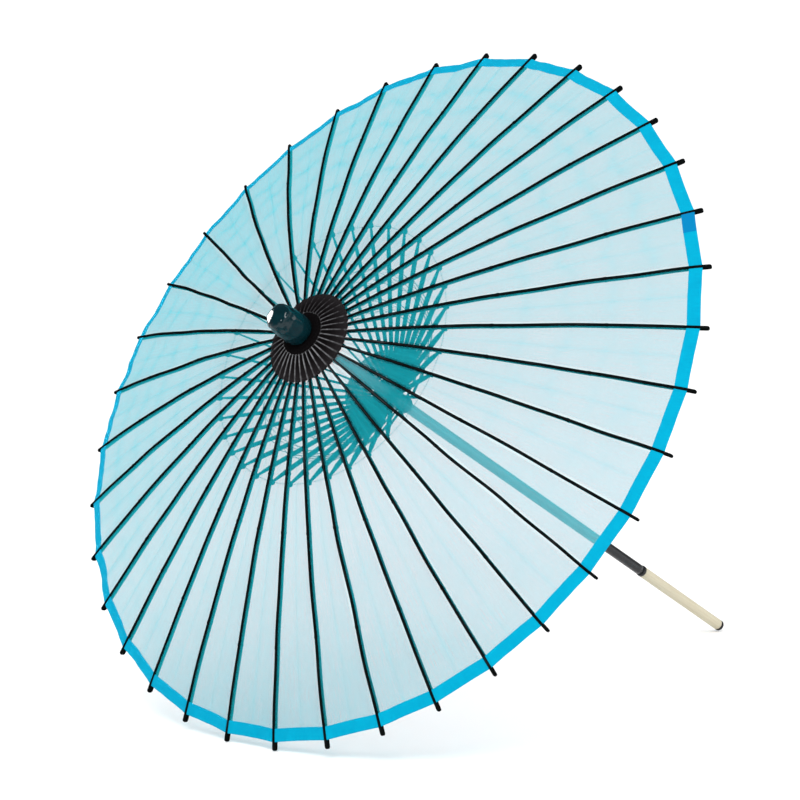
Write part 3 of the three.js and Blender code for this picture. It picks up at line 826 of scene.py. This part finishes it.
def sector_relief(radius, angle):
    """The height, with ridges over the ribs and valleys between them, and how grey the cloth is there: worn
    grey, with a painted sheen on the ridges strongest on one side.
    """
    phase = angle / PITCH - 0.5
    offset = abs(phase - round(phase)) * 2
    width = 0.15 + 0.04 * noise.noise(Vector((radius / 14, round(phase) * 3.1, 2.0)))
    ridge = math.exp(-((offset / width) ** 2))
    swell = smooth(HOOD_RING - 2, HOOD_RING + 6, radius)
    lint = noise.noise(Vector((radius / 3.0, angle * 12, 4.0)))
    lift = (1.0 * ridge - 0.8 * offset) * (0.45 + 0.55 * swell) + 0.10 * lint
    outwards = smooth(30, 50, radius)
    # One side of the hood is painted lighter: a painted sheen on the ridges where the light falls.
    side = 0.74 + 0.26 * math.cos(angle - SHEEN_SIDE)
    dust_and_sheen = ridge * side * (0.85 - 0.35 * outwards + 0.3 * lint) + 0.26 * outwards * (1 - ridge)
    return hood_height(radius) + lift, dust_and_sheen


def crown_relief(radius, angle):
    """Flat on the top hub, then falling over its edge to the gathered ring, in two gathers for each rib."""
    height = HOOD_TOP - 0.2 - (HOOD_TOP - HOOD_RING_Z) * smooth(20, HOOD_RING + 1, radius)
    gathers = 0.28 * math.sin(2 * RIB_COUNT * angle + 1.2 * math.sin(5 * angle)) * smooth(15, 21, radius)
    rough = 0.22 * noise.noise(Vector((radius / 2.2, math.cos(angle) * 9, math.sin(angle) * 9)))
    return height + gathers + rough, 0.0


def hood_piece(name, body, radii, angles, relief, middle_radius, wrap=False):
    """Cloth round the finial, from relief(radius, angle), which gives its height and how grey it is, from
    wear and painted sheen.
    """
    points, uvs, dust_and_sheen_rows = [], [], []
    for radius in radii:
        row = [(a, *relief(radius, a)) for a in angles]
        points.append([around(radius, a, height) for a, height, _ in row])
        uvs.append([(a * middle_radius, radius) for a in angles])
        dust_and_sheen_rows.append([dust_and_sheen for _, _, dust_and_sheen in row])
    shape = Shape().surface(np.array(points), uvs, wrap=wrap, mark=dust_and_sheen_rows)
    made = shape.build(name, HOOD, body, "black_cloth", closed=False)
    wall = made.modifiers.new("thickness", "SOLIDIFY")
    wall.thickness = HOOD_THICKNESS * MM
    wall.offset = -1
    return made


hood_radii = np.linspace(HOOD_RING - 0.6, HOOD_RADIUS - 0.2, 18)
for middle in CAD_STRETCHERS:
    angles = [spoke_angle(middle) + PITCH * step for step in np.linspace(-1.5, 1.5, 49)]
    made = hood_piece(
        f"hood_sector_{middle:02d}", f"rib_{middle:02d}", hood_radii, angles, sector_relief, SECTOR_MIDDLE
    )
    fold_with(made)

crown_radii = np.linspace(HOOD_RIM, HOOD_RING + 0.8, 20)
made = hood_piece(
    "hood_crown", "frame", crown_radii, full_turn(CROWN_SEGMENTS), crown_relief, CROWN_MIDDLE, wrap=True
)
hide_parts("hood")

GATHER_STEPS = RIB_COUNT * 8  # the thread waves in and out of the cloth once for each rib
ring = []
for a in full_turn(GATHER_STEPS, closed=True):
    r = HOOD_RING + 0.3 + 0.35 * math.sin(RIB_COUNT * a)
    ring.append(around(r, a, HOOD_RING_Z + 0.55 + 0.45 * math.cos(RIB_COUNT * a)))
cord_along(Shape(), ring, 0.4).build("hood_gather_thread", BLACK_THREAD, "frame", "black_thread")

# ---- threads through the joints, and the crossed threads between the stretchers ----
CROSSED_ROWS = ((0.26, 0.38), (0.47, 0.56))  # shares of the stretcher's length from its pin
CROSSINGS = 4
CROSSED_THREAD, JOINT_THREAD = 0.38, 0.22  # radii
for middle in CAD_STRETCHERS:
    path = []
    for step in np.linspace(-1.5, 1.5, 31):
        near = abs(step - round(step)) * 2
        sag = 0.8 * (1 - (1 - near) ** 2)
        path.append(between_spokes([pin[0], 0, pin[1] - sag], middle, step))
    made = cord_along(Shape(), path, JOINT_THREAD).build(
        f"joint_thread_{middle:02d}", BLACK_THREAD, f"rib_{middle:02d}", "black_thread"
    )
    fold_with(made)

for middle in CAD_STRETCHERS:
    lattice = Shape()
    for first in (middle - 1, middle, middle + 1):
        for low, high in CROSSED_ROWS:
            for start in (0, 1):
                path = []
                for i in range(CROSSINGS + 1):
                    share = low + (high - low) * i / CROSSINGS + dice.uniform(-0.008, 0.008)
                    at = pin + stretcher_along * stretcher_length * share
                    at = at + stretcher_normal * (1.4 if (i + start) % 2 else -0.4)
                    path.append(on_spoke([at[0], 0, at[1]], first + (i + start) % 2))
                cord_along(lattice, path, CROSSED_THREAD)
    carrier = f"stretcher_{middle:02d}"
    made = lattice.build(f"crossed_thread_{middle:02d}", BLACK_THREAD, carrier, "black_thread")
    fold_with(made)

# ---- threads wound close together round the stretchers, next to the runner ----
WEB_FROM, WEB_TO = 0.80, 0.96  # shares of the stretcher's length from its pin
WEB_PITCH, WEB_THREAD = 0.95, 0.5
web_turns = int((WEB_TO - WEB_FROM) * stretcher_length / WEB_PITCH)
for middle in CAD_STRETCHERS:
    web = Shape()
    for i in range(web_turns):
        share = WEB_FROM + (WEB_TO - WEB_FROM) * i / (web_turns - 1)
        at = pin + stretcher_along * stretcher_length * share
        path = []
        for step in np.linspace(-1.5, 1.5, 13):
            over = at + stretcher_normal * (0.5 if (i + round(step)) % 2 else -0.5)
            path.append(between_spokes([over[0], 0, over[1]], middle, step))
        cord_along(web, path, WEB_THREAD + dice.uniform(-0.06, 0.06), sides=5)
    made = web.build(f"wound_thread_{middle:02d}", BLACK_THREAD, f"stretcher_{middle:02d}", "black_thread")
    fold_with(made)

# ---- shaft, collar, handle, cap and finial ----
def turned_piece(name, node, outline, material, slot, wobble, segments=64):
    """A piece turned about the shaft from (radius, height) pairs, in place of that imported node.

    wobble(angle, radius, height) is how far a point is moved out.
    """
    rings, uvs = [], []
    angles = full_turn(segments)
    for radius, height in outline:
        rings.append([around(max(radius + wobble(a, radius, height), 0.01), a, height) for a in angles])
        uvs.append([(a * radius, height) for a in angles])
    shape = Shape().surface(np.array(rings), uvs, wrap=True, capped=True)
    made = shape.build(name, material, "frame", slot)
    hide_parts(node)
    return made


def along_steps(radius, start, end, step):
    count = max(int(abs(end - start) / step), 1)
    return [(radius, start + (end - start) * i / count) for i in range(count + 1)]


def hand_turned(depth):
    """Small unevenness left by turning and lacquering by hand."""
    return lambda a, radius, height: depth * noise.noise(
        Vector((math.cos(a) * 0.8, math.sin(a) * 0.8, height / 38))
    )


shaft_outline = [(TENON_RADIUS, SHAFT_JOIN - TENON_LENGTH + 0.4), (TENON_RADIUS, SHAFT_JOIN)]
shaft_outline += along_steps(SHAFT_RADIUS, SHAFT_JOIN, SHAFT_TOP, 11)
shaft = turned_piece(
    "shaft_lacquered", "shaft", shaft_outline, SHAFT_LACQUER, "black_lacquer", hand_turned(0.05)
)
# The slot for the spring catch is cut out of the shaft, on its upper side.
box_corners = [
    (-x, y, z)
    for z in (CATCH_FOOT - 0.6, CATCH_TOP + 0.6)
    for y in (-CATCH_SLOT / 2, CATCH_SLOT / 2)
    for x in (CATCH_SLOT_ROOT, SHAFT_RADIUS + 2)
]
cutter = bpy.data.meshes.new("catch_slot")
cutter.from_pydata(
    frame_points(box_corners).tolist(),
    [],
    [(0, 1, 3, 2), (4, 6, 7, 5), (0, 4, 5, 1), (2, 3, 7, 6), (0, 2, 6, 4), (1, 5, 7, 3)],
)
cutter_object = bpy.data.objects.new("catch_slot", cutter)
face_outwards(cutter)
bpy.context.scene.collection.objects.link(cutter_object)
cut = shaft.modifiers.new("catch_slot", "BOOLEAN")
cut.object, cut.operation, cut.solver = cutter_object, "DIFFERENCE", "EXACT"
bpy.context.view_layer.update()
cut_mesh = bpy.data.meshes.new_from_object(shaft.evaluated_get(bpy.context.evaluated_depsgraph_get()))
shaft.modifiers.clear()
shaft.data = cut_mesh
bpy.data.objects.remove(cutter_object)

collar_top = SHAFT_JOIN + COLLAR_LENGTH
bore = SHAFT_RADIUS + 0.15
collar_outline = [
    (bore, SHAFT_JOIN + 0.1), (COLLAR_RADIUS, SHAFT_JOIN + 0.1), (COLLAR_RADIUS, SHAFT_JOIN + 2),
    (COLLAR_RADIUS - 0.25, collar_top - 1.2), (COLLAR_RADIUS - 0.4, collar_top), (bore, collar_top),
]
turned_piece(
    "joint_collar_lacquered", "joint_collar", corner_round(collar_outline, 0.6), SHAFT_LACQUER,
    "black_lacquer", hand_turned(0.04),
)
handle_outline = [(TENON_RADIUS + 0.3, SHAFT_JOIN - 0.3), (HANDLE_RADIUS - 0.7, SHAFT_JOIN - 0.3)]
handle_outline += along_steps(HANDLE_RADIUS, SHAFT_JOIN - 1.2, HANDLE_END + 0.8, 9)
handle_outline += [(HANDLE_RADIUS - 0.6, HANDLE_END)]
turned_piece("handle_turned", "handle", handle_outline, HANDLE_WOOD, "pale_wood", hand_turned(0.10))
cap_outline = [(HANDLE_RADIUS - 0.3, CAP_TOP), (HANDLE_RADIUS + 0.05, CAP_TOP - 0.5)]
cap_outline += [
    (3.6 + CAP_ROUND * math.cos(a), CAP_BOTTOM + CAP_ROUND - CAP_ROUND * math.sin(a))
    for a in map(math.radians, range(0, 91, 10))
]
cap_outline += [(1.2, CAP_BOTTOM)]
turned_piece("end_cap_lacquered", "end_cap", cap_outline, CAP_LACQUER, "black_lacquer", hand_turned(0.05))

shoulder = FINIAL_TOP - FINIAL_DOME


def finial_radius(height):
    """Widest at the belly, and falling away to the foot and the crown."""
    if height < FINIAL_BELLY_Z:
        end, end_radius = FINIAL_BOTTOM, FINIAL_FOOT_RADIUS
    else:
        end, end_radius = shoulder, FINIAL_CROWN_RADIUS
    share = (height - FINIAL_BELLY_Z) / (end - FINIAL_BELLY_Z)
    return FINIAL_BELLY_RADIUS + (end_radius - FINIAL_BELLY_RADIUS) * share**2


def finial_dents(a, radius, height):
    """Flats and runs in the thick lacquer, deepest over the crown."""
    place = Vector((math.cos(a) * radius / 5.0, math.sin(a) * radius / 5.0, height / 7))
    crown_share = smooth(166, 180, height)
    foot_share = 1 - smooth(144, 150, height)
    flats = noise.noise(place) + 0.35 * noise.noise(place * 2.3)
    depth = 0.10 + 1.25 * crown_share + 0.45 * foot_share
    return depth * flats * min(radius / FINIAL_CROWN_RADIUS, 1) - 0.12


finial_outline = [
    (SHAFT_RADIUS + 0.6, FINIAL_BOTTOM), (FINIAL_FOOT_RADIUS - 1.4, FINIAL_BOTTOM),
    (FINIAL_FOOT_RADIUS - 0.4, FINIAL_BOTTOM + 0.5),
]
for height in np.linspace(FINIAL_BOTTOM + 1.6, shoulder - 0.8, 30):
    finial_outline.append((finial_radius(height), height))
finial_outline += [
    (FINIAL_CROWN_RADIUS * math.cos(a), shoulder + FINIAL_DOME * math.sin(a) - 0.05)
    for a in map(math.radians, range(0, 90, 6))
]
turned_piece(
    "finial_lacquered", "finial", finial_outline, FINIAL_TEAL_REFLECTION_LACQUER, "finial_black", finial_dents, segments=96
)

# ---- runner thread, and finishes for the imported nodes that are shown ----
ring = [around(RUNNER_PIVOT_RADIUS, a, RUNNER_PIVOT_Z) for a in full_turn(2 * RIB_COUNT, closed=True)]
cord_along(Shape(), ring, 0.45).build("runner_thread", BLACK_THREAD, "runner", "black_thread")

KEPT = {
    "top_hub": (HUB_WOOD, 0.25),
    "runner": (RUNNER_LACQUER, 0.25),
    "hub_thread": (BLACK_THREAD, 0.0),
    "spring_catch": (STEEL, 0.15),
}
for name, (finish, edge) in KEPT.items():
    node = frame["nodes"][name]
    node.data.materials.clear()
    node.data.materials.append(finish)
    if edge:
        softened = node.modifiers.new("softened_edges", "BEVEL")
        softened.width = edge * MM
        softened.segments = 2
        softened.limit_method = "ANGLE"
        softened.angle_limit = math.radians(35)

# ---- floor, light and camera ----
scene = bpy.context.scene
scene.view_settings.view_transform = "Standard"

FLOOR_REACH = 60.0
floor_mesh = bpy.data.meshes.new("floor")
corners = [(x * FLOOR_REACH, y * FLOOR_REACH, 0) for x, y in ((-1, -1), (1, -1), (1, 1), (-1, 1))]
floor_mesh.from_pydata(corners, [], [(0, 1, 2, 3)])
floor = bpy.data.objects.new("floor", floor_mesh)
scene.collection.objects.link(floor)
paper = new_material(
    "pale_floor", Base_Color=(0.96, 0.96, 0.96, 1), Roughness=1.0, Specular_IOR_Level=0.0
)[0]
floor_mesh.materials.append(paper)
floor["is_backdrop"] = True

world = bpy.data.worlds.new("studio")
scene.world = world
world.use_nodes = True
room_light = world.node_tree.nodes["Background"]
room_light.inputs["Color"].default_value = (1, 1, 1, 1)
room_light.inputs["Strength"].default_value = 1.15

PANEL_DIRECTION = (-0.19, 0.94, 0.27)
PANEL_STRENGTH = 42.0


def studio_reflections(tree):
    """What gloss shows of the room: light to the horizon, dark overhead, and one bright panel at the side."""
    facing = add(tree, "TexCoord").outputs["Generated"]
    level = add(tree, "SeparateXYZ", {"Vector": facing}).outputs["Z"]
    ceiling = map_range(tree, level, 0.55, 0.08, 0.05, 0.30)
    towards = add(tree, "VectorMath", {0: facing, 1: PANEL_DIRECTION}, operation="DOT_PRODUCT")
    panel = map_range(tree, towards.outputs["Value"], 0.0, PANEL_STRENGTH, 0.950, 0.960)
    room = add(tree, "Background", {"Strength": maths(tree, "ADD", ceiling, panel)}).outputs["Background"]
    plain = tree.nodes["Background"].outputs["Background"]
    glossy = add(tree, "LightPath").outputs["Is Glossy Ray"]
    mixed = add(tree, "MixShader", {0: glossy, 1: plain, 2: room}).outputs["Shader"]
    tree.links.new(mixed, tree.nodes["World Output"].inputs["Surface"])


studio_reflections(world.node_tree)


def softbox(name, place, target, size, power):
    lamp = bpy.data.lights.new(name, "AREA")
    lamp.shape, lamp.size, lamp.size_y, lamp.energy = "RECTANGLE", *size, power
    made = bpy.data.objects.new(name, lamp)
    scene.collection.objects.link(made)
    made.location = place
    made.rotation_mode = "QUATERNION"
    made.rotation_quaternion = (Vector(target) - Vector(place)).to_track_quat("-Z", "Y")


softbox("key_light", (-2.4, -1.6, 2.6), (-0.2, 0, 0.3), (1.6, 1.2), 60)
softbox("fill_light", (1.8, -2.4, 1.8), (0, 0, 0.3), (1.6, 1.6), 25)

# The camera looks at the umbrella from in front of its outer side, close to level.
CAMERA_RIGHT = Vector((0.6894, -0.7241, -0.0197))
CAMERA_UP = Vector((0.1091, 0.0770, 0.9910))
CAMERA_FORWARD = Vector((0.7161, 0.6854, -0.1321))
CAMERA_DISTANCE, CAMERA_ASIDE, CAMERA_BELOW = 3.86107, 0.0170, 0.0099
camera_data = bpy.data.cameras.new("camera")
camera_data.lens, camera_data.sensor_width = 163.36, 36
camera_data.clip_start, camera_data.clip_end = 0.1, 400
camera = bpy.data.objects.new("camera", camera_data)
scene.collection.objects.link(camera)
back = -CAMERA_FORWARD.normalized()
right = CAMERA_UP.cross(back).normalized()
up = back.cross(right)
turn = Matrix((right, up, back)).transposed().to_4x4()
place = origin + CAMERA_RIGHT * CAMERA_ASIDE - CAMERA_UP * CAMERA_BELOW - CAMERA_FORWARD * CAMERA_DISTANCE
camera.matrix_world = Matrix.Translation(place) @ turn
scene.camera = camera

low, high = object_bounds()
